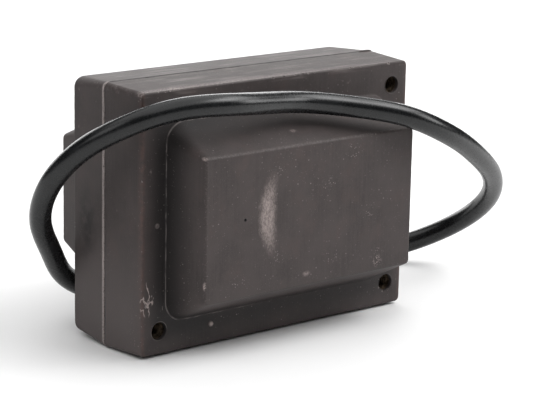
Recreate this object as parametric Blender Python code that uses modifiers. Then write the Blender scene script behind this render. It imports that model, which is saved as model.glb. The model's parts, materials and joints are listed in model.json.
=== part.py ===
"""Potted twin-outlet ignition coil with one loop of high-tension lead. Metres, +Z up, front towards -Y.

The origin is on the surface it stands on, under the middle of the case.
"""

import math

import bmesh
import bpy
import numpy as np
from mathutils import Vector

# Case. The two halves meet at the seam, where the draft makes them widest.
CASE_WIDTH = 0.1096
CASE_HEIGHT = 0.0832
DRAFT = 0.0485
WALL = 0.0026
FRONT_CORNER = 0.0018
REAR_CORNER = 0.0035
SEAM_GAP = 0.0003
EDGE_BREAK = 0.0006

# Bosses: inset of the foot from the flange's edges, height, taper of the sides, foot radius.
FRONT_BOSS = {"inset_x": 0.0093, "inset_z": 0.0100, "proud": 0.0165,
              "taper_x": 0.0026, "taper_z": 0.0088, "foot_radius": 0.0067}
REAR_BOSS = {"inset_x": 0.0074, "inset_z": 0.0135, "proud": 0.0220,
             "taper_x": 0.0035, "taper_z": 0.0099, "foot_radius": 0.0070}
BOSS_TOP_CORNER = 0.0012

# The hollow under the flanges, inside the solid rim that holds the inserts.
RIM_X = 0.0115
RIM_Z = 0.0092
HOLLOW_CORNER = 0.0050
HOLLOW_STEP = 0.0004

# Threaded inserts in the front flange.
HOLE_INSET_X = 0.0068
HOLE_INSET_Z = 0.0076
MOUTH_RADIUS = 0.0028
MOUTH_DEPTH = 0.0012
INSERT_RADIUS = 0.0042
INSERT_BORE = 0.0025
INSERT_LENGTH = 0.0137

# Gasket in a groove of the rear half's seam face.
GASKET_INSET = 0.0040
GASKET_WIDTH = 0.0030
GASKET_DEPTH = 0.0015

# Laminated core, in the X-Z plane, centred on the seam.
STACK_DEPTH = 0.0250
LIMB_HEIGHT = 0.0140
WINDOW_HEIGHT = 0.0142
LEG_HEIGHT = 0.0070
WINDOW_LENGTH = 0.0610
YOKE_LENGTH = 0.0088
SHIM = 0.0004
RIVET_RADIUS = 0.00175
RIVET_HEAD_RADIUS = 0.0030
RIVET_HEAD_HEIGHT = 0.0009

# Resin over the rivet heads, inside the flanges.
FRONT_COVER = 0.0022
REAR_COVER = 0.0017

# Windings, each a layer of this thickness round the limb.
BOBBIN_WALL = 0.0012
LIMB_CLEARANCE = 0.0004
PRIMARY_BUILD = 0.0030
WRAP_BUILD = 0.0007
SECONDARY_BUILD = 0.0050
SECTIONS = 4
FLANGE_THICKNESS = 0.0014
FLANGE_PROUD = 0.0006
LIMB_CORNER = 0.0003

# Outlet block under the rear boss, with a gland on each end.
BLOCK_HALF_LENGTH = 0.0100
BLOCK_BOTTOM = 0.0016
BLOCK_TOP = 0.0160
BLOCK_BACK = 0.0325
OUTLET_Y = 0.0260
OUTLET_Z = 0.0075
SOCKET_DEPTH = 0.0043
SPIGOT_RADIUS = 0.0035
GLAND_COLLAR_RADIUS = 0.0055
GLAND_COLLAR_LENGTH = 0.0030
GLAND_TIP_WALL = 0.0004
GLAND_ROOT_WALL = 0.0012
CONTACT_THICKNESS = 0.0008
CONTACT_WIDTH = 0.0040

# Low-tension blades above the rear boss.
BLADE_X = 0.0120
BLADE_WIDTH = 0.0063
BLADE_THICKNESS = 0.0008
BLADE_ABOVE_MIDDLE = 0.0360
BLADE_LENGTH = 0.0105

# High-tension lead: its route from the left gland round the front to the right gland.
LEAD_DIAMETER = 0.0070
LEAD_ROUTE = (
    (-0.0210, 0.0260, 0.0075), (-0.0260, 0.0260, 0.0075), (-0.0395, 0.0270, 0.0100),
    (-0.0525, 0.0245, 0.0175), (-0.0615, 0.0185, 0.0280), (-0.0700, 0.0115, 0.0400),
    (-0.0730, 0.0005, 0.0555), (-0.0690, -0.0105, 0.0670), (-0.0610, -0.0215, 0.0750),
    (-0.0510, -0.0290, 0.0795), (-0.0320, -0.0345, 0.0805), (-0.0210, -0.0335, 0.0795),
    (0.0020, -0.0305, 0.0770), (0.0185, -0.0345, 0.0745), (0.0360, -0.0410, 0.0705),
    (0.0515, -0.0420, 0.0640), (0.0640, -0.0390, 0.0580), (0.0785, -0.0335, 0.0500),
    (0.0925, -0.0260, 0.0410), (0.1020, -0.0165, 0.0310), (0.1050, -0.0045, 0.0210),
    (0.1000, 0.0085, 0.0120), (0.0875, 0.0195, 0.0060), (0.0705, 0.0255, 0.0050),
    (0.0475, 0.0265, 0.0065), (0.0340, 0.0260, 0.0075), (0.0210, 0.0260, 0.0075),
)
STEPS_PER_SPAN = 2

GAP = 0.0003
CORNER_STEPS = 5
ROUND_STEPS = 24

# Derived places. The case is centred on the origin along Y, and the core sets how deep its halves are.
CORE_END = STACK_DEPTH / 2 + GAP + RIVET_HEAD_HEIGHT
FRONT_DEPTH = CORE_END + FRONT_COVER + WALL
REAR_DEPTH = CORE_END + REAR_COVER + WALL
DEPTH = FRONT_BOSS["proud"] + FRONT_DEPTH + REAR_DEPTH + REAR_BOSS["proud"]
FRONT_END = -DEPTH / 2
FLANGE_Y = FRONT_END + FRONT_BOSS["proud"]
SEAM_Y = FLANGE_Y + FRONT_DEPTH
REAR_Y = SEAM_Y + REAR_DEPTH
HALF_WIDTH = CASE_WIDTH / 2
HALF_HEIGHT = CASE_HEIGHT / 2
SEAM_FLARE = DRAFT * max(FRONT_DEPTH, REAR_DEPTH)
MIDDLE_Z = HALF_HEIGHT + SEAM_FLARE
HOLLOW_X = HALF_WIDTH - RIM_X
HOLLOW_Z = HALF_HEIGHT - RIM_Z
HALF_SEAM_GAP = SEAM_GAP / 2
CORE_HALF_X = WINDOW_LENGTH / 2 + YOKE_LENGTH
CORE_HALF_Z = LIMB_HEIGHT / 2 + WINDOW_HEIGHT + LEG_HEIGHT
RIVET_X = CORE_HALF_X - YOKE_LENGTH / 2
RIVET_Z = CORE_HALF_Z - LEG_HEIGHT / 2

for leftover in list(bpy.data.objects):
    bpy.data.objects.remove(leftover, do_unlink=True)

parts = bpy.data.collections.new("ignition_coil")
cutters = bpy.data.collections.new("cutters")
for collection in (parts, cutters):
    bpy.context.scene.collection.children.link(collection)


def make_material(name, colour, roughness, metallic=0.0):
    material = bpy.data.materials.new(name)
    material.use_nodes = True
    shader = material.node_tree.nodes["Principled BSDF"]
    shader.inputs["Base Color"].default_value = (*colour, 1.0)
    shader.inputs["Roughness"].default_value = roughness
    shader.inputs["Metallic"].default_value = metallic
    return material


CASE = make_material("moulded_case", (0.072, 0.062, 0.060), 0.62)
RESIN = make_material("potting_resin", (0.045, 0.040, 0.036), 0.35)
RUBBER = make_material("lead_rubber", (0.028, 0.030, 0.032), 0.38)
GASKET = make_material("gasket_rubber", (0.030, 0.028, 0.027), 0.70)
STEEL = make_material("lamination_steel", (0.20, 0.20, 0.21), 0.45, 1.0)
BRASS = make_material("brass", (0.55, 0.40, 0.18), 0.35, 1.0)
COPPER = make_material("enamelled_copper", (0.42, 0.16, 0.06), 0.35, 0.8)
NYLON = make_material("bobbin_nylon", (0.62, 0.58, 0.50), 0.50)
PAPER = make_material("insulation_paper", (0.55, 0.44, 0.26), 0.80)


def add_object(name, mesh, material, collection=parts):
    new_object = bpy.data.objects.new(name, mesh)
    if material:
        mesh.materials.append(material)
    collection.objects.link(new_object)
    if collection is cutters:
        new_object.hide_render = True
        new_object.display_type = "WIRE"
    return new_object


def finish_mesh(name, form, material, collection=parts):
    bmesh.ops.recalc_face_normals(form, faces=form.faces)
    mesh = bpy.data.meshes.new(name)
    form.to_mesh(mesh)
    form.free()
    mesh.shade_smooth()
    mesh.set_sharp_from_angle(angle=math.radians(35))
    return add_object(name, mesh, material, collection)


def rounded_outline(half_a, half_b, radius):
    """The outline of a rectangle with round corners, as (a, b) pairs."""
    outline = []
    for corner, (side_a, side_b) in enumerate(((1, 1), (-1, 1), (-1, -1), (1, -1))):
        centre_a = side_a * (half_a - radius)
        centre_b = side_b * (half_b - radius)
        for step in range(CORNER_STEPS + 1):
            angle = math.pi / 2 * (corner + step / CORNER_STEPS)
            outline.append((centre_a + radius * math.cos(angle), centre_b + radius * math.sin(angle)))
    return outline


def case_section(y, half_x, half_z, radius):
    return [Vector((x, y, MIDDLE_Z + z)) for x, z in rounded_outline(half_x, half_z, radius)]


def coil_section(x, half_y, half_z, radius):
    return [Vector((x, SEAM_Y + y, MIDDLE_Z + z)) for y, z in rounded_outline(half_y, half_z, radius)]


def loft(name, sections, material, ring=False, collection=parts):
    """A skin over sections of equal point counts. It is capped at both ends, or closed on itself as a ring."""
    form = bmesh.new()
    rows = [[form.verts.new(point) for point in section] for section in sections]
    pairs = list(zip(rows, rows[1:]))
    if ring:
        pairs.append((rows[-1], rows[0]))
    else:
        form.faces.new(rows[0])
        form.faces.new(rows[-1])
    count = len(rows[0])
    for near, far in pairs:
        for index in range(count):
            after = (index + 1) % count
            form.faces.new((near[index], near[after], far[after], far[index]))
    return finish_mesh(name, form, material, collection)


def extruded(name, outline, direction, material, collection=parts):
    """A flat outline of 3-D points, extruded along a direction."""
    form = bmesh.new()
    face = form.faces.new([form.verts.new(point) for point in outline])
    grown = bmesh.ops.extrude_face_region(form, geom=[face])["geom"]
    moved = [element for element in grown if isinstance(element, bmesh.types.BMVert)]
    bmesh.ops.translate(form, verts=moved, vec=direction)
    return finish_mesh(name, form, material, collection)


def box(name, low, high, material, collection=parts):
    form = bmesh.new()
    bmesh.ops.create_cube(form, size=1.0)
    size = Vector(high) - Vector(low)
    bmesh.ops.scale(form, verts=form.verts, vec=size)
    bmesh.ops.translate(form, verts=form.verts, vec=Vector(low) + size / 2)
    return finish_mesh(name, form, material, collection)


def turned(name, profile, place, rotation, material, bored=False, collection=parts):
    """A profile of (radius, height) pairs, outer side from top to bottom, turned about its own Z."""
    mesh = bpy.data.meshes.new(name)
    points = [(radius, 0.0, height) for radius, height in profile]
    edges = [(index, index + 1) for index in range(len(points) - 1)]
    if bored:
        edges.append((len(points) - 1, 0))
    mesh.from_pydata(points, edges, [])
    piece = add_object(name, mesh, material, collection)
    piece.location = place
    piece.rotation_euler = rotation
    screw = piece.modifiers.new("turn", "SCREW")
    screw.steps = ROUND_STEPS
    screw.render_steps = ROUND_STEPS
    screw.use_merge_vertices = True
    screw.merge_threshold = 0.00001
    screw.use_smooth_shade = True
    return piece


def subtract(target, cutter):
    cut = target.modifiers.new(cutter.name, "BOOLEAN")
    cut.operation = "DIFFERENCE"
    cut.object = cutter


def join(target, added):
    union = target.modifiers.new(added.name, "BOOLEAN")
    union.operation = "UNION"
    union.object = added


TOWARDS_FRONT = (math.radians(90), 0.0, 0.0)
TOWARDS_RIGHT = (0.0, math.radians(90), 0.0)
TOWARDS_LEFT = (0.0, math.radians(-90), 0.0)


# Case halves. "side" is -1 for the front half and 1 for the rear half.
def boss_sizes(boss):
    foot = (HALF_WIDTH - boss["inset_x"], HALF_HEIGHT - boss["inset_z"])
    return foot, (foot[0] - boss["taper_x"], foot[1] - boss["taper_z"])


def hollow_sections(boss, side, depth, clearance):
    """The hollow of one case half, from its deepest section out to the seam."""
    (foot_x, foot_z), (top_x, top_z) = boss_sizes(boss)
    start = SEAM_Y + side * (HALF_SEAM_GAP + clearance / 2)
    floor = SEAM_Y + side * (depth - WALL - clearance)
    end = SEAM_Y + side * (depth + boss["proud"] - WALL - clearance)
    inset = WALL + clearance
    flange_x = HOLLOW_X - clearance
    flange_z = HOLLOW_Z - clearance
    foot_x = min(foot_x - inset, flange_x - HOLLOW_STEP)
    foot_corner = boss["foot_radius"] - WALL
    return [
        case_section(end, top_x - inset, top_z - inset, BOSS_TOP_CORNER),
        case_section(floor, foot_x, foot_z - inset, foot_corner),
        case_section(floor, flange_x, flange_z, HOLLOW_CORNER),
        case_section(start, flange_x, flange_z, HOLLOW_CORNER),
    ]


def outer_sections(boss, side, depth, corner):
    """The outside of one case half, from the seam out to the top of its boss."""
    (foot_x, foot_z), (top_x, top_z) = boss_sizes(boss)
    start = SEAM_Y + side * HALF_SEAM_GAP
    face = SEAM_Y + side * depth
    end = face + side * boss["proud"]
    flare = DRAFT * depth
    return [
        case_section(start, HALF_WIDTH + flare, HALF_HEIGHT + flare, corner),
        case_section(face - side * EDGE_BREAK, HALF_WIDTH, HALF_HEIGHT, corner),
        case_section(face, HALF_WIDTH - EDGE_BREAK, HALF_HEIGHT - EDGE_BREAK, corner - EDGE_BREAK / 2),
        case_section(face, foot_x, foot_z, boss["foot_radius"]),
        case_section(end - side * EDGE_BREAK, top_x, top_z, BOSS_TOP_CORNER),
        case_section(end, top_x - EDGE_BREAK, top_z - EDGE_BREAK, BOSS_TOP_CORNER / 2),
    ]


def gasket_groove():
    """The groove in the rear half's seam face, from the inner edge to the outer."""
    outer_x = HALF_WIDTH - GASKET_INSET
    outer_z = HALF_HEIGHT - GASKET_INSET
    inner_x = outer_x - GASKET_WIDTH
    inner_z = outer_z - GASKET_WIDTH
    seam = SEAM_Y + HALF_SEAM_GAP
    return [
        case_section(seam, inner_x, inner_z, HOLLOW_CORNER),
        case_section(seam + GASKET_DEPTH, inner_x, inner_z, HOLLOW_CORNER),
        case_section(seam + GASKET_DEPTH, outer_x, outer_z, HOLLOW_CORNER),
        case_section(seam, outer_x, outer_z, HOLLOW_CORNER),
    ]


def make_front_case():
    sections = hollow_sections(FRONT_BOSS, -1, FRONT_DEPTH, 0.0)
    sections += outer_sections(FRONT_BOSS, -1, FRONT_DEPTH, FRONT_CORNER)
    return loft("front_case", sections, CASE)


def make_rear_case():
    sections = hollow_sections(REAR_BOSS, 1, REAR_DEPTH, 0.0) + gasket_groove()
    sections += outer_sections(REAR_BOSS, 1, REAR_DEPTH, REAR_CORNER)
    return loft("rear_case", sections, CASE)


def make_gasket():
    inner_x = HALF_WIDTH - GASKET_INSET - GASKET_WIDTH + GAP
    inner_z = HALF_HEIGHT - GASKET_INSET - GASKET_WIDTH + GAP
    outer_x = HALF_WIDTH - GASKET_INSET - GAP
    outer_z = HALF_HEIGHT - GASKET_INSET - GAP
    front = SEAM_Y + GAP
    back = SEAM_Y + HALF_SEAM_GAP + GASKET_DEPTH - GAP
    sections = [
        case_section(front, inner_x, inner_z, HOLLOW_CORNER),
        case_section(back, inner_x, inner_z, HOLLOW_CORNER),
        case_section(back, outer_x, outer_z, HOLLOW_CORNER),
        case_section(front, outer_x, outer_z, HOLLOW_CORNER),
    ]
    loft("seam_gasket", sections, GASKET, ring=True)


# Threaded inserts, moulded into the front flange behind a plain mouth.
def make_inserts(front_case):
    pocket_end = MOUTH_DEPTH + GAP + INSERT_LENGTH + GAP
    pocket_radius = INSERT_RADIUS + GAP
    pocket = [(0.0, WALL), (MOUTH_RADIUS, WALL), (MOUTH_RADIUS, -MOUTH_DEPTH),
              (pocket_radius, -MOUTH_DEPTH), (pocket_radius, -pocket_end), (0.0, -pocket_end)]
    top = -MOUTH_DEPTH - GAP
    insert = [(INSERT_RADIUS, top), (INSERT_RADIUS, top - INSERT_LENGTH),
              (INSERT_BORE, top - INSERT_LENGTH), (INSERT_BORE, top)]
    for side_z, level in ((1, "top"), (-1, "bottom")):
        for side_x, hand in ((-1, "left"), (1, "right")):
            place = (side_x * (HALF_WIDTH - HOLE_INSET_X), FLANGE_Y,
                     MIDDLE_Z + side_z * (HALF_HEIGHT - HOLE_INSET_Z))
            name = f"{level}_{hand}"
            cutter = turned(f"pocket_{name}", pocket, place, TOWARDS_FRONT, None, collection=cutters)
            subtract(front_case, cutter)
            turned(f"insert_{name}", insert, place, TOWARDS_FRONT, BRASS, bored=True)


# Core: an E stack from the left, a shim across its open legs, and an I stack on the right.
def xz_outline(points, y):
    return [Vector((x, y, MIDDLE_Z + z)) for x, z in points]


def make_core():
    half_stack = STACK_DEPTH / 2
    limb = LIMB_HEIGHT / 2
    window = limb + WINDOW_HEIGHT
    leg_end = WINDOW_LENGTH / 2 - SHIM - GAP
    spine = -WINDOW_LENGTH / 2
    e_outline = [(-CORE_HALF_X, -CORE_HALF_Z), (leg_end, -CORE_HALF_Z), (leg_end, -window),
                 (spine, -window), (spine, -limb), (leg_end, -limb), (leg_end, limb),
                 (spine, limb), (spine, window), (leg_end, window), (leg_end, CORE_HALF_Z),
                 (-CORE_HALF_X, CORE_HALF_Z)]
    depth = Vector((0.0, STACK_DEPTH, 0.0))
    front = SEAM_Y - half_stack
    back = SEAM_Y + half_stack
    e_stack = extruded("core_e_stack", xz_outline(e_outline, front), depth, STEEL)
    i_start = WINDOW_LENGTH / 2 + GAP
    i_stack = box("core_i_stack", (i_start, front, MIDDLE_Z - CORE_HALF_Z),
                  (CORE_HALF_X, back, MIDDLE_Z + CORE_HALF_Z), STEEL)
    box("core_gap_shim", (leg_end + GAP, front, MIDDLE_Z - CORE_HALF_Z),
        (leg_end + GAP + SHIM, back, MIDDLE_Z + CORE_HALF_Z), PAPER)
    reach = half_stack + GAP
    hole_radius = RIVET_RADIUS + GAP
    hole = [(0.0, reach), (hole_radius, reach), (hole_radius, -reach), (0.0, -reach)]
    head = reach + RIVET_HEAD_HEIGHT
    rivet = [(0.0, head), (RIVET_HEAD_RADIUS, head), (RIVET_HEAD_RADIUS, reach),
             (RIVET_RADIUS, reach), (RIVET_RADIUS, -reach), (RIVET_HEAD_RADIUS, -reach),
             (RIVET_HEAD_RADIUS, -head), (0.0, -head)]
    for side_x, stack, letter in ((-1, e_stack, "e"), (1, i_stack, "i")):
        for side_z, level in ((1, "top"), (-1, "bottom")):
            place = (side_x * RIVET_X, SEAM_Y, MIDDLE_Z + side_z * RIVET_Z)
            name = f"{letter}_{level}"
            cutter = turned(f"rivet_hole_{name}", hole, place, TOWARDS_FRONT, None, collection=cutters)
            subtract(stack, cutter)
            turned(f"core_rivet_{name}", rivet, place, TOWARDS_FRONT, STEEL)


# Windings: each layer is a profile of (x, distance from the limb) carried round the limb.
def layer(name, profile, material, collection=parts, ring=True):
    sections = [
        coil_section(x, STACK_DEPTH / 2 + out, LIMB_HEIGHT / 2 + out, LIMB_CORNER + out)
        for x, out in profile
    ]
    return loft(name, sections, material, ring=ring, collection=collection)


PRIMARY_INSIDE = LIMB_CLEARANCE
PRIMARY_WIRE = PRIMARY_INSIDE + BOBBIN_WALL + GAP
PRIMARY_OUTSIDE = PRIMARY_WIRE + PRIMARY_BUILD
WRAP_INSIDE = PRIMARY_OUTSIDE + GAP
SECONDARY_INSIDE = WRAP_INSIDE + WRAP_BUILD + GAP
SECONDARY_WIRE = SECONDARY_INSIDE + BOBBIN_WALL + GAP
SECONDARY_OUTSIDE = SECONDARY_WIRE + SECONDARY_BUILD
PACKAGE_OUTSIDE = SECONDARY_OUTSIDE + FLANGE_PROUD
BOBBIN_HALF_LENGTH = WINDOW_LENGTH / 2 - SHIM - 2 * GAP


def bobbin_profile(inside, flange_top, flange_starts, end):
    """The outer side runs from the left end over each flange, and the bore brings it back."""
    drum = inside + BOBBIN_WALL
    profile = []
    for start in flange_starts:
        stop = start + FLANGE_THICKNESS
        profile += [(start, drum), (start, flange_top), (stop, flange_top), (stop, drum)]
    return profile[1:-1] + [(end, inside), (-end, inside)]


def make_windings():
    end = BOBBIN_HALF_LENGTH
    primary_flanges = [-end, end - FLANGE_THICKNESS]
    layer("primary_bobbin", bobbin_profile(PRIMARY_INSIDE, PRIMARY_OUTSIDE, primary_flanges, end), NYLON)
    wire_end = end - FLANGE_THICKNESS - GAP
    layer("primary_winding", sleeve(-wire_end, wire_end, PRIMARY_WIRE, PRIMARY_OUTSIDE), COPPER)
    layer("insulation_wrap", sleeve(-end, end, WRAP_INSIDE, WRAP_INSIDE + WRAP_BUILD), PAPER)
    pitch = (2 * end - FLANGE_THICKNESS) / SECTIONS
    starts = [-end + pitch * index for index in range(SECTIONS + 1)]
    layer("secondary_bobbin", bobbin_profile(SECONDARY_INSIDE, PACKAGE_OUTSIDE, starts, end), NYLON)
    for index, start in enumerate(starts[:-1], 1):
        left = start + FLANGE_THICKNESS + GAP
        right = start + pitch - GAP
        layer(f"secondary_winding_{index}", sleeve(left, right, SECONDARY_WIRE, SECONDARY_OUTSIDE), COPPER)


def sleeve(left, right, inside, outside):
    return [(left, inside), (left, outside), (right, outside), (right, inside)]


# Resin fills each half of the hollow round the core and the windings.
def make_resin():
    core_x = CORE_HALF_X + GAP
    core_y = CORE_END + GAP
    core_z = CORE_HALF_Z + GAP
    core_space = box("core_space", (-core_x, SEAM_Y - core_y, MIDDLE_Z - core_z),
                     (core_x, SEAM_Y + core_y, MIDDLE_Z + core_z), None, cutters)
    coil_end = BOBBIN_HALF_LENGTH + 2 * GAP
    coil_space = layer("coil_space", [(-coil_end, PACKAGE_OUTSIDE + GAP), (coil_end, PACKAGE_OUTSIDE + GAP)],
                       None, cutters, ring=False)
    halves = []
    for name, boss, side, depth in (("resin_front", FRONT_BOSS, -1, FRONT_DEPTH),
                                    ("resin_rear", REAR_BOSS, 1, REAR_DEPTH)):
        half = loft(name, hollow_sections(boss, side, depth, GAP), RESIN)
        subtract(half, core_space)
        subtract(half, coil_space)
        halves.append(half)
    return halves


# Bent strips: each outline runs along Y and then turns towards the coil.
def strip_outline(x, back, level, turn_y, tip, thickness, grow):
    """An L in the Y-Z plane at x. "level" is the long arm's middle height, and "tip" the short arm's end."""
    half = thickness / 2 + grow
    inward = 1 if tip > level else -1
    near = turn_y - half
    points = [(back + grow, level - inward * half), (near, level - inward * half),
              (near, tip), (turn_y + half, tip),
              (turn_y + half, level + inward * half), (back + grow, level + inward * half)]
    return [Vector((x, y, z)) for y, z in points]


def make_contacts(rear_case, resin):
    """High-tension contacts, from the sockets in the outlet block to the coil."""
    turn_y = SEAM_Y + STACK_DEPTH / 2 - CONTACT_WIDTH / 2
    tip = MIDDLE_Z - CORE_HALF_Z - 2 * GAP
    socket_end = BLOCK_HALF_LENGTH - SOCKET_DEPTH
    back = OUTLET_Y + CONTACT_WIDTH / 2
    for side, hand in ((-1, "left"), (1, "right")):
        outer_x = side * (socket_end - GAP)
        inner_x = outer_x - side * CONTACT_THICKNESS
        outline = strip_outline(inner_x, back, OUTLET_Z, turn_y, tip, CONTACT_WIDTH, 0.0)
        extruded(f"ht_contact_{hand}", outline, Vector((side * CONTACT_THICKNESS, 0.0, 0.0)), BRASS)
        slot_x = inner_x - side * GAP
        slot = strip_outline(slot_x, back, OUTLET_Z, turn_y, tip + 2 * GAP, CONTACT_WIDTH, GAP)
        width = Vector((side * (CONTACT_THICKNESS + 2 * GAP), 0.0, 0.0))
        cutter = extruded(f"contact_slot_{hand}", slot, width, None, cutters)
        subtract(rear_case, cutter)
        subtract(resin, cutter)


def make_blades(rear_case, resin):
    """Low-tension blades, from the rear face down to the coil."""
    turn_y = SEAM_Y + STACK_DEPTH / 2 - BLADE_WIDTH / 2
    tip = MIDDLE_Z + CORE_HALF_Z + 2 * GAP
    level = MIDDLE_Z + BLADE_ABOVE_MIDDLE
    for side, hand in ((-1, "left"), (1, "right")):
        start_x = side * BLADE_X - BLADE_WIDTH / 2
        outline = strip_outline(start_x, REAR_Y + BLADE_LENGTH, level, turn_y, tip, BLADE_THICKNESS, 0.0)
        extruded(f"lt_blade_{hand}", outline, Vector((BLADE_WIDTH, 0.0, 0.0)), BRASS)
        slot = strip_outline(start_x - GAP, REAR_Y + BLADE_LENGTH, level, turn_y, tip - 2 * GAP,
                             BLADE_THICKNESS, GAP)
        cutter = extruded(f"blade_slot_{hand}", slot, Vector((BLADE_WIDTH + 2 * GAP, 0.0, 0.0)), None, cutters)
        subtract(rear_case, cutter)
        subtract(resin, cutter)


# Outlet block, moulded on the rear half, with a gland pushed into each end.
def make_outlets(rear_case):
    block = box("outlet_block", (-BLOCK_HALF_LENGTH, REAR_Y - WALL / 2, BLOCK_BOTTOM),
                (BLOCK_HALF_LENGTH, BLOCK_BACK, BLOCK_TOP), None, cutters)
    join(rear_case, block)
    socket_radius = SPIGOT_RADIUS + GAP
    socket_end = -SOCKET_DEPTH - GAP
    socket = [(0.0, GAP), (socket_radius, GAP), (socket_radius, socket_end), (0.0, socket_end)]
    lead_radius = LEAD_DIAMETER / 2
    gland_length = LEAD_ROUTE[-1][0] - BLOCK_HALF_LENGTH - GAP
    gland = [(0.0, gland_length), (lead_radius + GLAND_TIP_WALL, gland_length),
             (lead_radius + GLAND_ROOT_WALL, GLAND_COLLAR_LENGTH + GAP),
             (GLAND_COLLAR_RADIUS, GLAND_COLLAR_LENGTH), (GLAND_COLLAR_RADIUS, GAP),
             (SPIGOT_RADIUS, GAP), (SPIGOT_RADIUS, GAP - SOCKET_DEPTH), (0.0, GAP - SOCKET_DEPTH)]
    for side, hand, rotation in ((-1, "left", TOWARDS_LEFT), (1, "right", TOWARDS_RIGHT)):
        place = (side * BLOCK_HALF_LENGTH, OUTLET_Y, OUTLET_Z)
        cutter = turned(f"socket_{hand}", socket, place, rotation, None, collection=cutters)
        subtract(rear_case, cutter)
        turned(f"ht_gland_{hand}", gland, place, rotation, RUBBER)


def spline_through(points, steps):
    """Points on the natural cubic spline through the given ones, that many steps to a span."""
    knots = np.array(points)
    gaps = np.linalg.norm(np.diff(knots, axis=0), axis=1)
    count = len(knots)
    system = np.eye(count)
    target = np.zeros((count, 3))
    slopes = np.diff(knots, axis=0) / gaps[:, None]
    for index in range(1, count - 1):
        before, after = gaps[index - 1], gaps[index]
        system[index, index - 1 : index + 2] = before, 2 * (before + after), after
        target[index] = 6 * (slopes[index] - slopes[index - 1])
    bend = np.linalg.solve(system, target)
    line = []
    for index, gap in enumerate(gaps):
        for step in range(steps):
            t = step / steps
            straight = knots[index] * (1 - t) + knots[index + 1] * t
            near = ((1 - t) ** 3 - (1 - t)) * bend[index]
            far = (t**3 - t) * bend[index + 1]
            line.append(straight + (near + far) * gap**2 / 6)
    return line + [knots[-1]]


def make_lead():
    line = spline_through(LEAD_ROUTE, STEPS_PER_SPAN)
    curve = bpy.data.curves.new("ht_lead", "CURVE")
    curve.dimensions = "3D"
    curve.bevel_depth = LEAD_DIAMETER / 2
    curve.bevel_resolution = 3
    curve.use_fill_caps = True
    spline = curve.splines.new("POLY")
    spline.points.add(len(line) - 1)
    for point, place in zip(spline.points, line):
        point.co = (*place, 1.0)
    add_object("ht_lead", curve, RUBBER)


front_case = make_front_case()
rear_case = make_rear_case()
make_gasket()
make_inserts(front_case)
make_core()
make_windings()
resin_front, resin_rear = make_resin()
make_outlets(rear_case)
make_contacts(rear_case, resin_rear)
make_blades(rear_case, resin_rear)
make_lead()
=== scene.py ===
import json
import math
import random

import bmesh
import bpy
import numpy as np
from mathutils import Matrix, Quaternion, Vector, noise


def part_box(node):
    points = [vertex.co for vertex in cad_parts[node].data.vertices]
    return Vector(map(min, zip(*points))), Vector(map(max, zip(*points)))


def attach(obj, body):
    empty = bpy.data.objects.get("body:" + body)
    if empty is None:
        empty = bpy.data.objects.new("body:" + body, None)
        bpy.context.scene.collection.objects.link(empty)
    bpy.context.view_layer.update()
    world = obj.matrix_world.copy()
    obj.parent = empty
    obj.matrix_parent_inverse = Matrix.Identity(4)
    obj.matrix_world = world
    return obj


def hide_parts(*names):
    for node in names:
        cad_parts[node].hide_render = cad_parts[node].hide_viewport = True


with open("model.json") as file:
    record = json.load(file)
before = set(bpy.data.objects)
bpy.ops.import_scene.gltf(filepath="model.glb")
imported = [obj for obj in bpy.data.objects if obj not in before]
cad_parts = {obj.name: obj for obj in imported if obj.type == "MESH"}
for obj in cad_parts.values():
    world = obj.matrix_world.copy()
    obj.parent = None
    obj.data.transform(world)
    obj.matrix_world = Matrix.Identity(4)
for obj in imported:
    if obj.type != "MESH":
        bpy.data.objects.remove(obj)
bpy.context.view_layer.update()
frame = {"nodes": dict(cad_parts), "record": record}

nodes = frame["nodes"]
mounts = {mount["name"]: Vector(mount["pos_m"]) for mount in frame["record"]["mounts"]}
mm = 0.001

# places on the case that the frame gives
frontLow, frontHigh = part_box("front_case")
rearLow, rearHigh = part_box("rear_case")
middleZ = (frontLow.z + frontHigh.z) / 2
seamY = (frontHigh.y + rearLow.y) / 2
flangeY = mounts["flange_front"].y
# the same in millimetres, for the patterns
sideX, topZ, centreZ = (value / mm for value in (frontHigh.x, frontHigh.z, middleZ))
jointY, faceY, bossY = (value / mm for value in (seamY, flangeY, frontLow.y))


# camera, floor and lights
view = {
    "place": (-0.42636, -0.52174, 0.19978),
    "towards": (0.62640, 0.74451, -0.23090),
    "roll": 1.086,              # degrees
    "lens": 141.8,
    "sensor": 36.0,
}


def makeCamera():
    data = bpy.data.cameras.new("camera")
    data.lens = view["lens"]
    data.sensor_width = view["sensor"]
    data.clip_start = 0.01
    camera = bpy.data.objects.new("camera", data)
    aim = Vector(view["towards"]).to_track_quat("-Z", "Y")
    roll = Quaternion((0, 0, 1), math.radians(view["roll"]))
    camera.matrix_world = Matrix.Translation(view["place"]) @ (aim @ roll).to_matrix().to_4x4()
    bpy.context.scene.collection.objects.link(camera)
    bpy.context.scene.camera = camera


studio = {
    "floorSize": 6.0,
    "floorColour": (0.88, 0.88, 0.88),
    "worldColour": (1.0, 1.0, 1.0, 1.0),
    "worldStrength": 0.04,
    # name: (place, what it points at, width, height, watts)
    "lights": {
        "overhead": ((0.00, -0.10, 0.95), (0.0, 0.0, 0.0), 1.80, 1.80, 15.0),
        "rightStrip": ((0.70, -0.38, 0.90), (0.0, 0.0, 0.05), 0.82, 0.52, 4.8),
        "back": ((0.70, 1.45, 0.50), (0.0, 0.0, 0.03), 2.00, 0.80, 17.0),
        "frontKey": ((1.25, -0.75, 0.60), (0.0, 0.0, 0.04), 0.55, 0.55, 5.4),
        "frontTop": ((0.46, -0.60, 0.95), (0.0, 0.0, 0.07), 0.56, 0.34, 2.3),
        "leftFill": ((-1.00, 0.10, 0.60), (0.0, 0.0, 0.05), 0.55, 0.50, 1.6),
    },
}


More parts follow.
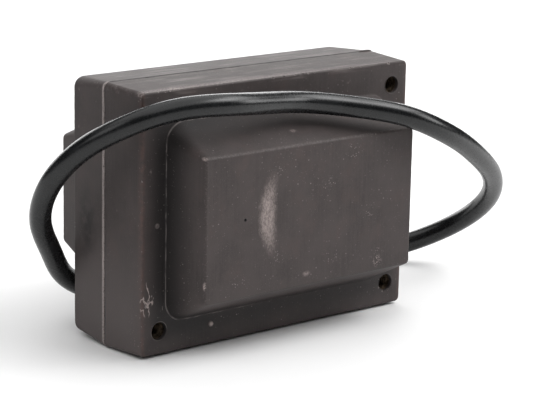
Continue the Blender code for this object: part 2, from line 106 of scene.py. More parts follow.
# shader sums: a socket that can be added, multiplied and so on
class Wire:
    def __init__(self, tree, socket=None):
        self.tree = tree
        self.socket = socket

    def node(self, kind, settings=None, values=None, output=0):
        made = self.tree.nodes.new(kind)
        for key, value in (settings or {}).items():
            setattr(made, key, value)
        for key, value in (values or {}).items():
            if isinstance(value, Wire):
                self.tree.links.new(value.socket, made.inputs[key])
            elif made.inputs[key].type == "RGBA" and len(value) == 3:
                made.inputs[key].default_value = (*value, 1.0)
            else:
                made.inputs[key].default_value = value
        return Wire(self.tree, made.outputs[output])

    def pick(self, name):
        return Wire(self.tree, self.socket.node.outputs[name])

    def math(self, operation, *values, clamp=False):
        settings = {"operation": operation, "use_clamp": clamp}
        return self.node("ShaderNodeMath", settings, dict(enumerate(values)))

    def __add__(self, other):
        return self.math("ADD", self, other)

    def __sub__(self, other):
        return self.math("SUBTRACT", self, other)

    def __rsub__(self, other):
        return self.math("SUBTRACT", other, self)

    def __mul__(self, other):
        return self.math("MULTIPLY", self, other)

    def __truediv__(self, other):
        return self.math("DIVIDE", self, other)

    def __neg__(self):
        return self.math("MULTIPLY", self, -1.0)

    def __abs__(self):
        return self.math("ABSOLUTE", self)

    __radd__ = __add__
    __rmul__ = __mul__

    def clamp(self):
        return self.math("ADD", self, 0.0, clamp=True)

    def most(self, other):
        return self.math("MAXIMUM", self, other)

    def fract(self):
        return self.math("FRACT", self)

    def rise(self, low, high):          # 0 below low, 1 above high, smooth between
        return self.node("ShaderNodeMapRange", {"interpolation_type": "SMOOTHSTEP"},
                         {"Value": self, "From Min": low, "From Max": high})

    def fall(self, low, high):
        return 1 - self.rise(low, high)

    def colourTo(self, near, far):      # this value blends one colour into another
        return self.node("ShaderNodeMix", {"data_type": "RGBA"}, {0: self, 6: near, 7: far}, 2)


class Surface:
    def __init__(self, name):
        self.material = bpy.data.materials.new(name)
        self.material.use_nodes = True
        self.tree = self.material.node_tree
        self.shader = self.tree.nodes["Principled BSDF"]
        self.wire = Wire(self.tree)
        spot = self.wire.node("ShaderNodeTexCoord", output="Object")
        # everything is measured in millimetres from here on
        self.spot = self.wire.node("ShaderNodeVectorMath", {"operation": "SCALE"},
                                   {0: spot, "Scale": 1 / mm})
        parts = self.wire.node("ShaderNodeSeparateXYZ", values={0: self.spot})
        self.x, self.y, self.z = (parts.pick(letter) for letter in "XYZ")

    def stretched(self, x, y, z):
        return self.wire.node("ShaderNodeVectorMath", {"operation": "MULTIPLY"},
                              {0: self.spot, 1: (x, y, z)})

    def noise(self, perMm, detail=2.0, roughness=0.5, where=None):
        return self.wire.node("ShaderNodeTexNoise", {"noise_dimensions": "3D"},
                              {"Vector": where or self.spot, "Scale": perMm, "Detail": detail,
                               "Roughness": roughness})

    def specks(self, perMm, size, share):       # dots of that size on this share of the cells
        cells = self.wire.node("ShaderNodeTexVoronoi", {"feature": "F1"},
                               {"Vector": self.spot, "Scale": perMm})
        chosen = self.wire.node("ShaderNodeSeparateColor", values={0: cells.pick("Color")})
        soft = 0.02
        return cells.fall(size / 2, size) * chosen.rise(1 - share - soft, 1 - share + soft)

    def near(self, centre, reach):              # 1 at the centre, 0 past the reach along each axis
        apart = self.wire.node("ShaderNodeVectorMath", {"operation": "SUBTRACT"}, {0: self.spot, 1: centre})
        scaled = self.wire.node("ShaderNodeVectorMath", {"operation": "DIVIDE"}, {0: apart, 1: reach})
        length = self.wire.node("ShaderNodeVectorMath", {"operation": "LENGTH"}, {0: scaled}, "Value")
        return length.fall(0.0, 1.0)

    def finish(self, colour, roughness, bump=None, **fixed):
        if isinstance(colour, Wire):
            self.tree.links.new(colour.socket, self.shader.inputs["Base Color"])
        else:
            self.shader.inputs["Base Color"].default_value = (*colour, 1.0)
        if isinstance(roughness, Wire):
            self.tree.links.new(roughness.socket, self.shader.inputs["Roughness"])
        else:
            self.shader.inputs["Roughness"].default_value = roughness
        if bump:
            height, distance = bump
            bumped = self.wire.node("ShaderNodeBump", values={"Height": height, "Distance": distance,
                                                              "Strength": 1.0})
            self.tree.links.new(bumped.socket, self.shader.inputs["Normal"])
        for name, value in fixed.items():
            self.shader.inputs[name.replace("_", " ")].default_value = value
        return self.material


# the case's finish: lengths in mm, places as (x, y, z)
moulding = {
    "dark": (0.037, 0.0295, 0.0285),
    "light": (0.059, 0.0475, 0.0460),
    "brown": (0.088, 0.056, 0.050),
    "worn": (0.32, 0.28, 0.27),
    "speck": (0.24, 0.21, 0.20),
    "pale": (0.42, 0.35, 0.33),
    "shadow": (0.014, 0.012, 0.012),
    "paintedFloorLight": (0.105, 0.088, 0.086),
    "black": (0.004, 0.004, 0.004),
    "shine": 0.36,
    "grainDepth": 0.06,
    # pale nicks: (middle, reach, strength, the stretch of noise that breaks it up)
    "nicks": (
        ((-43.6, -36.8, 65.4), (2.0, 2.0, 1.0), 1.60, (0.34, 0.58)),    # the boss's left corners
        ((-42.9, -37.2, 25.6), (0.6, 1.0, 1.8), 1.20, (0.34, 0.58)),
        ((28.5, -37.5, 22.8), (3.0, 1.0, 2.8), 0.80, (0.54, 0.60)),     # the boss's lower edge
        ((-2.2, -37.5, 23.3), (2.2, 1.0, 1.2), 0.45, (0.34, 0.58)),
        ((-3.6, -31.3, 68.6), (2.0, 1.4, 0.9), 0.45, (0.34, 0.58)),     # the boss's top slope
        ((-41.5, -19.8, 84.6), (4.0, 2.4, 1.6), 1.00, (0.46, 0.58)),    # the flange's top edge
        ((-27.6, -21.5, 7.4), (1.2, 1.3, 1.2), 1.40, None),             # the two pips
        ((-49.1, -21.5, 42.4), (1.1, 1.0, 1.1), 0.40, None),
    ),
    "scratched": ((-52.6, -21.0, 19.6), (4.2, 2.5, 7.2)),               # the flange's lower left
    # crowds of specks on the boss's face: (x, z, half width, half height)
    "crowds": ((17.4, 61.0, 6.0, 4.5), (7.1, 51.5, 5.5, 4.0), (24.0, 40.0, 5.5, 4.0),
               (-15.5, 58.5, 5.5, 4.0), (-14.0, 30.5, 5.5, 4.0), (8.0, 27.5, 5.5, 4.0),
               (28.0, 26.0, 5.5, 4.0), (-30.0, 24.5, 5.5, 4.0)),
    "crowdDepth": 2.0,
    "scuff": {"x": -18.6, "z": 44.5, "halfHeight": 15.5, "halfWidth": 4.4, "bend": 0.013, "sway": 2.2},
    "pinhole": ((-27.4, -37.5, 44.4), (0.9, 1.8, 0.9)),
    "paintedLeadShadow": ((-55.4, 7.5, 38.5), (3.0, 7.5, 15.0)),
}


def mouldedColour(s, tone, grain):
    m = moulding
    colour = tone.rise(0.30, 0.72).colourTo(m["dark"], m["light"])
    patches = s.noise(0.13, 4.0, 0.65, s.stretched(1.0, 1.3, 0.8)).rise(0.50, 0.75)
    colour = (patches * 0.30).colourTo(colour, m["brown"])
    streaks = s.noise(1.0, 2.0, 0.6, s.stretched(1.8, 1.8, 0.07))
    fade = (grain * 0.6 + streaks * 0.4).rise(0.36, 0.66)
    return (fade * 0.75).colourTo(colour, m["light"])


def dirtied(s, colour):
    m = moulding
    # a soft brownish line down the flange's corners
    fromCorner = abs(abs(s.x) - (sideX - 1.2)) / 1.6
    fromEdge = abs(s.y - (faceY + 0.3)) / 2.4
    corner = fromCorner.fall(0.0, 1.0) * fromEdge.fall(0.0, 1.0) * s.noise(0.6, 3.0).rise(0.2, 0.7)
    colour = corner.colourTo(colour, m["brown"])

    # painted shade round the boss's foot, most on the left and along the bottom
    outX = abs(s.x) - frontHalf["footX"] / mm
    outZ = abs(s.z - centreZ) - frontHalf["footZ"] / mm
    fromFoot = abs(outX.most(outZ)) + 0.5 * abs(s.y - faceY)
    where = s.x.fall(-42.0, 20.0).most(s.z.fall(18.0, 34.0) * 0.7)
    footShade = fromFoot.fall(1.5, 9.0) * s.y.fall(-15.0, -12.0) * where
    colour = (footShade * 0.90).colourTo(colour, m["shadow"])

    # painted light from the floor, paler low down on the left side, and long pale rubs on the top
    dustAndFloorLight = (-s.x).rise(sideX - 1.5, sideX - 0.5) * s.z.fall(5.0, 44.0)
    colour = (dustAndFloorLight * 0.80).colourTo(colour, m["paintedFloorLight"])
    rubs = s.noise(1.0, 3.0, 0.65, s.stretched(0.045, 0.55, 0.55)).rise(0.46, 0.66)
    rubs = rubs * s.noise(0.10, 2.0).rise(0.30, 0.62) * s.z.rise(topZ - 2.8, topZ - 2.2)
    colour = (rubs * 0.34).colourTo(colour, m["speck"])

    # painted shade along the joint between the halves
    joint = abs(s.y - jointY).fall(0.45, 0.75)
    return (joint * 0.9).colourTo(colour, m["shadow"])


def wornAndHighlitEdges(s, chalk):
    leftSide = (-s.x).rise(sideX - 3.0, sideX - 1.0)
    jointLine = abs(s.y - (jointY + 0.55)).fall(0.15, 0.95) * leftSide * chalk.rise(0.28, 0.50)
    behindFace = s.y - faceY
    topLine = (s.z - (topZ - 2.6)).rise(0.0, 1.0) * behindFace.rise(0.10, 0.70) * behindFace.fall(1.0, 4.5)
    topLine = topLine * chalk.rise(0.38, 0.66) * s.x.fall(-10.0, 48.0)
    # a pale line on the fine step round the boss's foot, on the left: a painted highlight of the step's
    # edge
    footLine = behindFace.fall(-0.07, -0.03) * behindFace.rise(-0.30, -0.20)
    footLine = footLine * s.noise(0.25, 2.0).rise(0.30, 0.60) * s.x.fall(-30.0, 10.0)
    # the long and the short edges of the boss's face: a pale line, partly wear and partly painted
    # highlight, the long one along the upper edge only
    atBossFace = (s.y - bossY).fall(0.4, 1.3)
    fromLong = abs(abs(s.z - centreZ) - (frontHalf["topZ"] / mm + 0.1))
    fromShort = abs(abs(s.x) - (frontHalf["topX"] / mm - 0.1))
    longEdges = fromLong.fall(0.1, 0.7) * (s.z - centreZ).rise(-1.0, 1.0) * chalk.rise(0.36, 0.70) * 0.20
    shortEdges = fromShort.fall(0.1, 0.8) * chalk.rise(0.5, 0.7) * 0.22
    bossEdges = atBossFace * longEdges.most(shortEdges)
    return jointLine.most(topLine * 0.85).most(footLine * 0.32).most(bossEdges)


def nicksOn(s, chalk):
    middle, reach = moulding["scratched"]
    patch = (s.near(middle, reach) + 0.9 * s.noise(0.30, 2.0) - 0.62).rise(0.0, 0.22)
    lines = abs(s.noise(0.42, 2.0, 0.5, s.stretched(1.0, 1.0, 0.5)) - 0.5).fall(0.010, 0.045)
    nicks = patch * lines * chalk.rise(0.25, 0.50) * 0.85
    for middle, reach, strength, broken in moulding["nicks"]:
        nick = s.near(middle, reach) * strength
        nicks = nicks.most(nick * chalk.rise(*broken) if broken else nick)
    return nicks.clamp()


def scuffOn(s):             # a bent, frayed rub down the boss's face
    scuff = moulding["scuff"]
    low = s.z - scuff["z"]
    sway = scuff["sway"] * (s.noise(0.35, 3.0, 0.6) - 0.5)
    middle = scuff["x"] + scuff["bend"] * low * low + sway
    across = abs(s.x - middle) / scuff["halfWidth"]
    along = abs(low) / scuff["halfHeight"]
    reach = (across * across + along * along).fall(0.0, 1.0)
    fray = s.noise(2.2, 5.0, 0.85, s.stretched(1.0, 1.0, 0.5)).rise(0.38, 0.64)
    atBossFace = (s.y - bossY).fall(0.3, 1.0)
    return (atBossFace * reach * (0.26 * reach * reach + 0.52 * fray)).clamp()


def caseMoulding():
    s = Surface("caseMoulding")
    m = moulding
    tone = s.noise(0.09, 3.0, 0.6)
    grain = s.noise(2.6, 3.0, 0.7)
    chalk = s.noise(1.7, 4.0, 0.75)
    wearAndHighlight = wornAndHighlitEdges(s, chalk)
    scuff = scuffOn(s)
    colour = dirtied(s, mouldedColour(s, tone, grain))
    colour = wearAndHighlight.colourTo(colour, m["worn"])
    colour = nicksOn(s, chalk).colourTo(colour, m["pale"])

    # pale specks all over, denser in patches and in the crowds
    dense = s.noise(0.07, 2.0).rise(0.42, 0.66)
    coarse = s.specks(0.95, 0.24, 0.10) * (0.35 + 0.65 * dense)
    fine = s.specks(1.8, 0.30, 0.16) * (0.30 + 0.70 * dense)
    near = [s.near((x, bossY, z), (halfWidth, m["crowdDepth"], halfHeight))
            for x, z, halfWidth, halfHeight in m["crowds"]]
    crowds = near[0]
    for other in near[1:]:
        crowds = crowds.most(other)
    crowded = s.specks(1.5, 0.34, 0.55) * (crowds + 0.7 * chalk - 0.42).rise(0.10, 0.55)
    colour = (coarse * 0.80).most(fine * 0.36).most(crowded * 0.75).colourTo(colour, m["speck"])

    colour = scuff.colourTo(colour, m["pale"])
    # painted shade: the pinhole and a little round it painted near black
    colour = s.near(*m["pinhole"]).rise(0.25, 0.50).colourTo(colour, m["black"])
    # painted shadow of the lead on the left side of the rear half
    darker = s.near(*m["paintedLeadShadow"]) * s.noise(0.25, 3.0).rise(0.30, 0.60)
    colour = (darker * 0.85).colourTo(colour, m["shadow"])

    roughness = 0.50 + 0.16 * tone + 0.10 * grain + 0.15 * wearAndHighlight.most(scuff)
    height = s.noise(3.0, 3.0, 0.7) * 0.6 + s.noise(0.8, 2.0) * 0.4 - 0.8 * coarse
    bump = (height, m["grainDepth"] * mm)
    return s.finish(colour, roughness.clamp(), bump, Specular_IOR_Level=m["shine"])


def brokenMoulding():
    s = Surface("brokenMoulding")
    grain = s.noise(2.2, 4.0, 0.8)
    colour = grain.rise(0.40, 0.66).colourTo(moulding["light"], moulding["worn"])
    return s.finish(colour, 0.78, (grain, 0.0002))


rubberLook = {
    "black": (0.0032, 0.0036, 0.0042),
    "grey": (0.0075, 0.0082, 0.0090),
    "dustAndFloorLight": (0.12, 0.12, 0.12),
}


def leadRubber():
    s = Surface("leadSheath")
    m = rubberLook
    tone = s.noise(0.16, 3.0, 0.6)
    colour = tone.rise(0.35, 0.70).colourTo(m["black"], m["grey"])
    dustAndFloorLight = s.specks(0.8, 0.16, 0.05) * s.noise(0.08, 2.0).rise(0.45, 0.65)
    colour = (dustAndFloorLight * 0.55).colourTo(colour, m["dustAndFloorLight"])
    rubs = s.noise(0.9, 4.0, 0.75)
    roughness = 0.24 + 0.06 * tone + 0.10 * rubs.rise(0.52, 0.75)
    return s.finish(colour, roughness.clamp(), (s.noise(0.6, 2.0, 0.5), 0.000006), Specular_IOR_Level=0.42)


def glandRubber():
    s = Surface("glandRubber")
    tone = s.noise(0.5, 4.0, 0.7)
    colour = tone.rise(0.3, 0.7).colourTo(rubberLook["black"], rubberLook["grey"])
    dustAndFloorLight = s.noise(1.6, 4.0, 0.8).rise(0.58, 0.76)
    colour = (dustAndFloorLight * 0.35).colourTo(colour, rubberLook["dustAndFloorLight"])
    return s.finish(colour, 0.48 + 0.25 * dustAndFloorLight, (s.noise(2.2, 3.0, 0.7), 0.00006))


def metal(name, bright, darker, scale, roughness):
    s = Surface(name)
    stain = s.noise(scale, 4.0, 0.7)
    colour = stain.rise(0.35, 0.68).colourTo(bright, darker)
    scratches = s.noise(1.0, 2.0, 0.6, s.stretched(0.4, 4.0, 4.0))
    rough = roughness + 0.22 * stain.rise(0.40, 0.70) + 0.10 * scratches
    return s.finish(colour, rough.clamp(), (scratches, 0.00002), Metallic=1.0)


stack = {
    "sheet": 0.5,           # mm
    "steel": (0.20, 0.20, 0.21),
    "gap": (0.03, 0.028, 0.028),
    "varnish": (0.10, 0.07, 0.045),
}


def steelStack():
    s = Surface("laminatedSteel")
    sheets = abs((s.y / stack["sheet"]).fract() - 0.5)
    colour = sheets.fall(0.0, 0.14).colourTo(stack["steel"], stack["gap"])
    varnish = s.noise(0.2, 3.0).rise(0.45, 0.70)
    colour = (varnish * 0.5).colourTo(colour, stack["varnish"])
    return s.finish(colour, 0.36 + 0.25 * varnish, (sheets, 0.00008), Metallic=0.9)


def woundWire(name, pitch, light, dark):
    s = Surface(name)
    turns = abs((s.x / pitch).fract() - 0.5)
    colour = (turns * 2.0).colourTo(dark, light)
    colour = (s.noise(0.3, 3.0).rise(0.4, 0.7) * 0.4).colourTo(colour, dark)
    return s.finish(colour, 0.32, (1 - turns * 2.0, pitch * 0.2 * mm), Metallic=0.6)


def plain(name, light, dark, scale, roughness, depth=0.00005):
    s = Surface(name)
    tone = s.noise(scale, 4.0, 0.7)
    return s.finish(tone.rise(0.3, 0.7).colourTo(dark, light), roughness + 0.15 * tone, (tone, depth))


# shared shaping tools
def pieceFrom(form, name, material, sharp=35):
    mesh = bpy.data.meshes.new(name)
    form.to_mesh(mesh)
    form.free()
    mesh.materials.append(material)
    mesh.shade_smooth()
    mesh.set_sharp_from_angle(angle=math.radians(sharp))
    piece = bpy.data.objects.new(name, mesh)
    bpy.context.scene.collection.objects.link(piece)
    return piece


def carve(piece, tool, operation="DIFFERENCE"):
    change = piece.modifiers.new("carve", "BOOLEAN")
    change.operation = operation
    change.object = tool
    change.material_mode = "TRANSFER"
    shown = piece.evaluated_get(bpy.context.evaluated_depsgraph_get())
    mesh = bpy.data.meshes.new_from_object(shown)
    piece.modifiers.clear()
    piece.data = mesh
    bpy.data.objects.remove(tool)


def settle(piece, sharp=32):            # even out the shading once the cutting is done
    form = bmesh.new()
    form.from_mesh(piece.data)
    bmesh.ops.remove_doubles(form, verts=form.verts, dist=0.002 * mm)
    bmesh.ops.dissolve_degenerate(form, edges=form.edges, dist=0.002 * mm)
    bmesh.ops.recalc_face_normals(form, faces=form.faces)
    form.to_mesh(piece.data)
    form.free()
    piece.data.shade_smooth()
    piece.data.set_sharp_from_angle(angle=math.radians(sharp))
    weigh = piece.modifiers.new("evenShading", "WEIGHTED_NORMAL")
    weigh.keep_sharp = True


def turnedForm(profile, steps=40, bored=False):     # (radius, height) pairs, turned about Z
    form = bmesh.new()
    line = [form.verts.new((radius, 0, height)) for radius, height in profile]
    edges = [form.edges.new(pair) for pair in zip(line, line[1:])]
    if bored:
        edges.append(form.edges.new((line[-1], line[0])))
    bmesh.ops.spin(form, geom=line + edges, cent=(0, 0, 0), axis=(0, 0, 1), angle=2 * math.pi,
                   steps=steps, use_merge=True)
    bmesh.ops.remove_doubles(form, verts=form.verts, dist=0.001 * mm)
    bmesh.ops.recalc_face_normals(form, faces=form.faces)
    return form


def boxForm(low, high):
    form = bmesh.new()
    size = Vector(high) - Vector(low)
    bmesh.ops.create_cube(form, size=1.0)
    bmesh.ops.scale(form, verts=form.verts, vec=size)
    bmesh.ops.translate(form, verts=form.verts, vec=Vector(low) + size / 2)
    return form


def bevelled(form, edges, offset, segments=3):
    bmesh.ops.bevel(form, geom=edges, offset=offset, offset_type="OFFSET", segments=segments,
                    profile=0.5, affect="EDGES", clamp_overlap=True, material=-1)


towardsFront = Matrix.Rotation(math.radians(90), 4, "X")         # turned pieces' Z to -Y
towardsRear = Matrix.Rotation(math.radians(-90), 4, "X")
towardsRight = Matrix.Rotation(math.radians(90), 4, "Y")
towardsLeft = Matrix.Rotation(math.radians(-90), 4, "Y")


def put(form, place, turn):
    form.transform(Matrix.Translation(place) @ turn)
    return form


def inMm(values):
    return tuple(value * mm for value in values)


def rideAs(piece, slot, *replaced):
    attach(piece, "root")
    if replaced:
        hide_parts(*replaced)


# high-tension lead, one loop from the left gland round the front to the right gland
lead = {
    "diameter": 7.0 * mm,
    "length": 0.4239,
    "stepsPerSpan": 8,
    "roundness": 10,
    "route": (
        (-0.0210, 0.0260, 0.0075), (-0.0260, 0.0260, 0.0075), (-0.0395, 0.0270, 0.0100),
        (-0.0525, 0.0245, 0.0175), (-0.0615, 0.0185, 0.0280), (-0.0700, 0.0115, 0.0400),
        (-0.0730, 0.0005, 0.0555), (-0.0690, -0.0105, 0.0670), (-0.0610, -0.0215, 0.0750),
        (-0.0510, -0.0290, 0.0795), (-0.0320, -0.0345, 0.0805), (-0.0210, -0.0335, 0.0795),
        (0.0020, -0.0305, 0.0770), (0.0185, -0.0345, 0.0745), (0.0360, -0.0410, 0.0705),
        (0.0515, -0.0420, 0.0640), (0.0640, -0.0390, 0.0580), (0.0785, -0.0335, 0.0500),
        (0.0925, -0.0260, 0.0410), (0.1020, -0.0165, 0.0310), (0.1050, -0.0045, 0.0210),
        (0.1000, 0.0085, 0.0120), (0.0875, 0.0195, 0.0060), (0.0705, 0.0255, 0.0050),
        (0.0475, 0.0265, 0.0065), (0.0340, 0.0260, 0.0075), (0.0210, 0.0260, 0.0075),
    ),
}


def splineThrough(points, steps):       # the natural cubic spline through the route's points
    knots = np.array(points)
    gaps = np.linalg.norm(np.diff(knots, axis=0), axis=1)
    count = len(knots)
    system = np.eye(count)
    target = np.zeros((count, 3))
    slopes = np.diff(knots, axis=0) / gaps[:, None]
    for index in range(1, count - 1):
        before, after = gaps[index - 1], gaps[index]
        system[index, index - 1:index + 2] = before, 2 * (before + after), after
        target[index] = 6 * (slopes[index] - slopes[index - 1])
    bend = np.linalg.solve(system, target)
    line = []
    for index, gap in enumerate(gaps):
        for step in range(steps):
            t = step / steps
            straight = knots[index] * (1 - t) + knots[index + 1] * t
            near = ((1 - t) ** 3 - (1 - t)) * bend[index]
            far = (t ** 3 - t) * bend[index + 1]
            line.append(straight + (near + far) * gap ** 2 / 6)
    return line + [knots[-1]]


def makeLead():
    line = splineThrough(lead["route"], lead["stepsPerSpan"])
    curve = bpy.data.curves.new("highTensionLead", "CURVE")
    curve.dimensions = "3D"
    curve.bevel_depth = lead["diameter"] / 2
    curve.bevel_resolution = lead["roundness"]
    curve.use_fill_caps = True
    spline = curve.splines.new("POLY")
    spline.points.add(len(line) - 1)
    for point, place in zip(spline.points, line):
        point.co = (*place, 1.0)
    spline.use_smooth = True
    curve.materials.append(leadRubber())
    piece = bpy.data.objects.new("highTensionLead", curve)
    bpy.context.scene.collection.objects.link(piece)
    rideAs(piece, "lead_rubber", "ht_lead")


# case halves
case = {
    "halfWidth": 54.8 * mm,
    "halfHeight": 41.6 * mm,
    "draft": 0.0485,
    "wall": 2.6 * mm,
    "rimX": 11.5 * mm,
    "rimZ": 9.2 * mm,
    "hollowCorner": 5.0 * mm,
    "hollowStep": 0.4 * mm,
    "cornerSegments": 8,
    "cutsAcross": 90,
    "cutsUp": 68,
    "flangeShares": (0.62, 0.30),   # where the flange's inner rings stand between the foot and the edge
}
frontHalf = {
    "side": -1, "seam": frontHigh.y, "face": flangeY, "end": frontLow.y,
    "seamCorner": 1.5 * mm, "faceCorner": 1.7 * mm,
    "footX": 45.5 * mm, "footZ": 31.6 * mm, "footCorner": 6.7 * mm,
    "topX": 42.9 * mm, "topZ": 22.8 * mm, "topCorner": 1.3 * mm,
    "faceEdge": 0.6 * mm, "footFillet": 2.2 * mm, "topEdge": 0.6 * mm,
}
rearHalf = {
    "side": 1, "seam": rearLow.y, "face": seamY + 18.0 * mm, "end": rearHigh.y,
    "seamCorner": 2.0 * mm, "faceCorner": 3.5 * mm,
    "footX": 47.4 * mm, "footZ": 28.1 * mm, "footCorner": 7.0 * mm,
    "topX": 43.9 * mm, "topZ": 18.2 * mm, "topCorner": 1.5 * mm,
    "faceEdge": 1.0 * mm, "footFillet": 2.0 * mm, "topEdge": 0.9 * mm,
}
seamEdge = 0.35 * mm
filletStart = 0.45          # how far from the foot's line a fillet starts, as a share of its radius
edgeWear = {"loss": 0.16 * mm, "coarse": 260, "fine": 900, "flat": 0.995, "base": 0.35}
witness = {"width": 0.25 * mm, "height": 0.09 * mm}     # the fine step round a boss's foot


def ringLoop(form, y, halfX, halfZ, corner):        # a rounded rectangle of edges across the case
    ring = bmesh.new()
    corners = bmesh.ops.create_grid(ring, x_segments=1, y_segments=1, size=1.0)["verts"]
    bmesh.ops.scale(ring, verts=corners, vec=(halfX, halfZ, 1.0))
    bmesh.ops.bevel(ring, geom=corners, offset=corner, offset_type="OFFSET", profile=0.5,
                    segments=case["cornerSegments"], affect="VERTICES", material=-1)
    sides = sorted(ring.edges, key=lambda edge: -edge.calc_length())[:4]
    across = [e for e in sides if abs(e.verts[0].co.y - e.verts[1].co.y) < 0.001 * mm]
    up = [e for e in sides if e not in across]
    bmesh.ops.delete(ring, geom=list(ring.faces), context="FACES_ONLY")
    bmesh.ops.subdivide_edges(ring, edges=across, cuts=case["cutsAcross"])
    bmesh.ops.subdivide_edges(ring, edges=up, cuts=case["cutsUp"])
    ring.transform(Matrix.Translation((0, y, middleZ)) @ Matrix.Rotation(math.radians(90), 4, "X"))
    mesh = bpy.data.meshes.new("ring")
    ring.to_mesh(mesh)
    ring.free()
    count = len(form.edges)
    form.from_mesh(mesh)
    bpy.data.meshes.remove(mesh)
    form.edges.ensure_lookup_table()
    return form.edges[count:]


def wearEdges(form, seed):            # wear takes more where the surface bends more
    form.normal_update()
    drift = Vector((seed, 0, 0))
    moves = []
    for v in form.verts:
        normals = [face.normal for face in v.link_faces]
        turn = min((a.dot(b) for a in normals for b in normals), default=1.0)
        outward = (v.co - Vector((0, seamY, middleZ))).dot(v.normal) > 0
        if turn < edgeWear["flat"] and outward:
            coarse = noise.noise((v.co + drift) * edgeWear["coarse"])
            fine = noise.noise((v.co + drift) * edgeWear["fine"])
            share = max(0.0, edgeWear["base"] + 0.9 * coarse + 0.7 * fine)
            moves.append((v, v.normal * -edgeWear["loss"] * share * min(1.0, (1 - turn) * 6)))
    for v, move in moves:
        v.co += move


def caseForm(half):
    side = half["side"]
    flare = case["draft"] * abs(half["face"] - seamY)
    seam, face, end = half["seam"], half["face"], half["end"]
    wall = case["wall"]
    hollowX = case["halfWidth"] - case["rimX"]
    hollowZ = case["halfHeight"] - case["rimZ"]
    innerFootX = min(half["footX"] - wall, hollowX - case["hollowStep"])
    step = side * witness["height"]
    reachX = case["halfWidth"] - half["footX"]
    reachZ = case["halfHeight"] - half["footZ"]
    outer, inner = case["flangeShares"]
    form = bmesh.new()
    rings = {
        "hollowEnd": (end - side * wall, half["topX"] - wall, half["topZ"] - wall, half["topCorner"]),
        "hollowFoot": (face - side * wall, innerFootX, half["footZ"] - wall, half["footCorner"] - wall),
        "hollowFloor": (face - side * wall, hollowX, hollowZ, case["hollowCorner"]),
        "hollowMouth": (seam, hollowX, hollowZ, case["hollowCorner"]),
        "seam": (seam, case["halfWidth"] + flare, case["halfHeight"] + flare, half["seamCorner"]),
        "face": (face, case["halfWidth"], case["halfHeight"], half["faceCorner"]),
        "flangeOuter": (face, half["footX"] + outer * reachX, half["footZ"] + outer * reachZ, 3 * mm),
        "flangeInner": (face, half["footX"] + inner * reachX, half["footZ"] + inner * reachZ, 5 * mm),
        "stepFoot": (face, half["footX"] + 2 * witness["width"], half["footZ"] + 2 * witness["width"],
                     half["footCorner"] + witness["width"]),
        "stepTop": (face + step, half["footX"] + witness["width"], half["footZ"] + witness["width"],
                    half["footCorner"] + witness["width"] / 2),
        "foot": (face + step, half["footX"], half["footZ"], half["footCorner"]),
        "top": (end, half["topX"], half["topZ"], half["topCorner"]),
    }
    # the rings stand apart while they're joined, as two in one plane can be joined askew
    order = list(rings)
    loops = {name: ringLoop(form, place * 10 * mm, *rings[name][1:]) for place, name in enumerate(order)}
    for near, far in zip(order, order[1:]):
        bmesh.ops.bridge_loops(form, edges=loops[near] + loops[far])
    for name in order:
        for v in {v for edge in loops[name] for v in edge.verts}:
            v.co.y = rings[name][0]
    bmesh.ops.edgeloop_fill(form, edges=loops["hollowEnd"])
    bmesh.ops.edgeloop_fill(form, edges=loops["top"])
    bmesh.ops.recalc_face_normals(form, faces=form.faces)
    bevelled(form, loops["foot"], half["footFillet"] * filletStart, 5)
    bevelled(form, loops["top"], half["topEdge"], 4)
    bevelled(form, loops["face"], half["faceEdge"], 4)
    bevelled(form, loops["seam"], seamEdge, 2)
    return form


holes = {
    "mouthRadius": 2.8 * mm, "mouthDepth": 1.2 * mm, "mouthEdge": 0.18 * mm, "clearance": 0.3 * mm,
    "rimRadius": 3.20 * mm, "rimHeight": 0.10 * mm,
}
insertNames = [f"insert_{level}_{hand}" for level in ("top", "bottom") for hand in ("left", "right")]


def holeFace(name):             # the middle of a hole's mouth on the flange
    low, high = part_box(name)
    return Vector(((low.x + high.x) / 2, flangeY, (low.z + high.z) / 2))


def cutTurned(piece, name, outline, place, turn, steps=32, operation="DIFFERENCE", bored=False):
    form = put(turnedForm(outline, steps, bored), place, turn)
    carve(piece, pieceFrom(form, name, caseMaterial), operation)


def cutBox(piece, name, low, high):
    carve(piece, pieceFrom(boxForm(low, high), name, caseMaterial))


def cutChips(piece, chips, seed):       # (place, reach): each takes a rough lump out of the surface
    rough = bmesh.new()
    for number, (place, reach) in enumerate(chips):
        lump = bmesh.ops.create_icosphere(rough, subdivisions=3, radius=1.0)["verts"]
        for v in lump:
            shift = Vector((number * 3.1 + seed, seed, number))
            v.co *= 0.80 + 0.45 * noise.noise(v.co * 1.9 + shift)
        bmesh.ops.scale(rough, verts=lump, vec=reach)
        bmesh.ops.translate(rough, verts=lump, vec=place)
    carve(piece, pieceFrom(rough, "chips", chipMaterial))


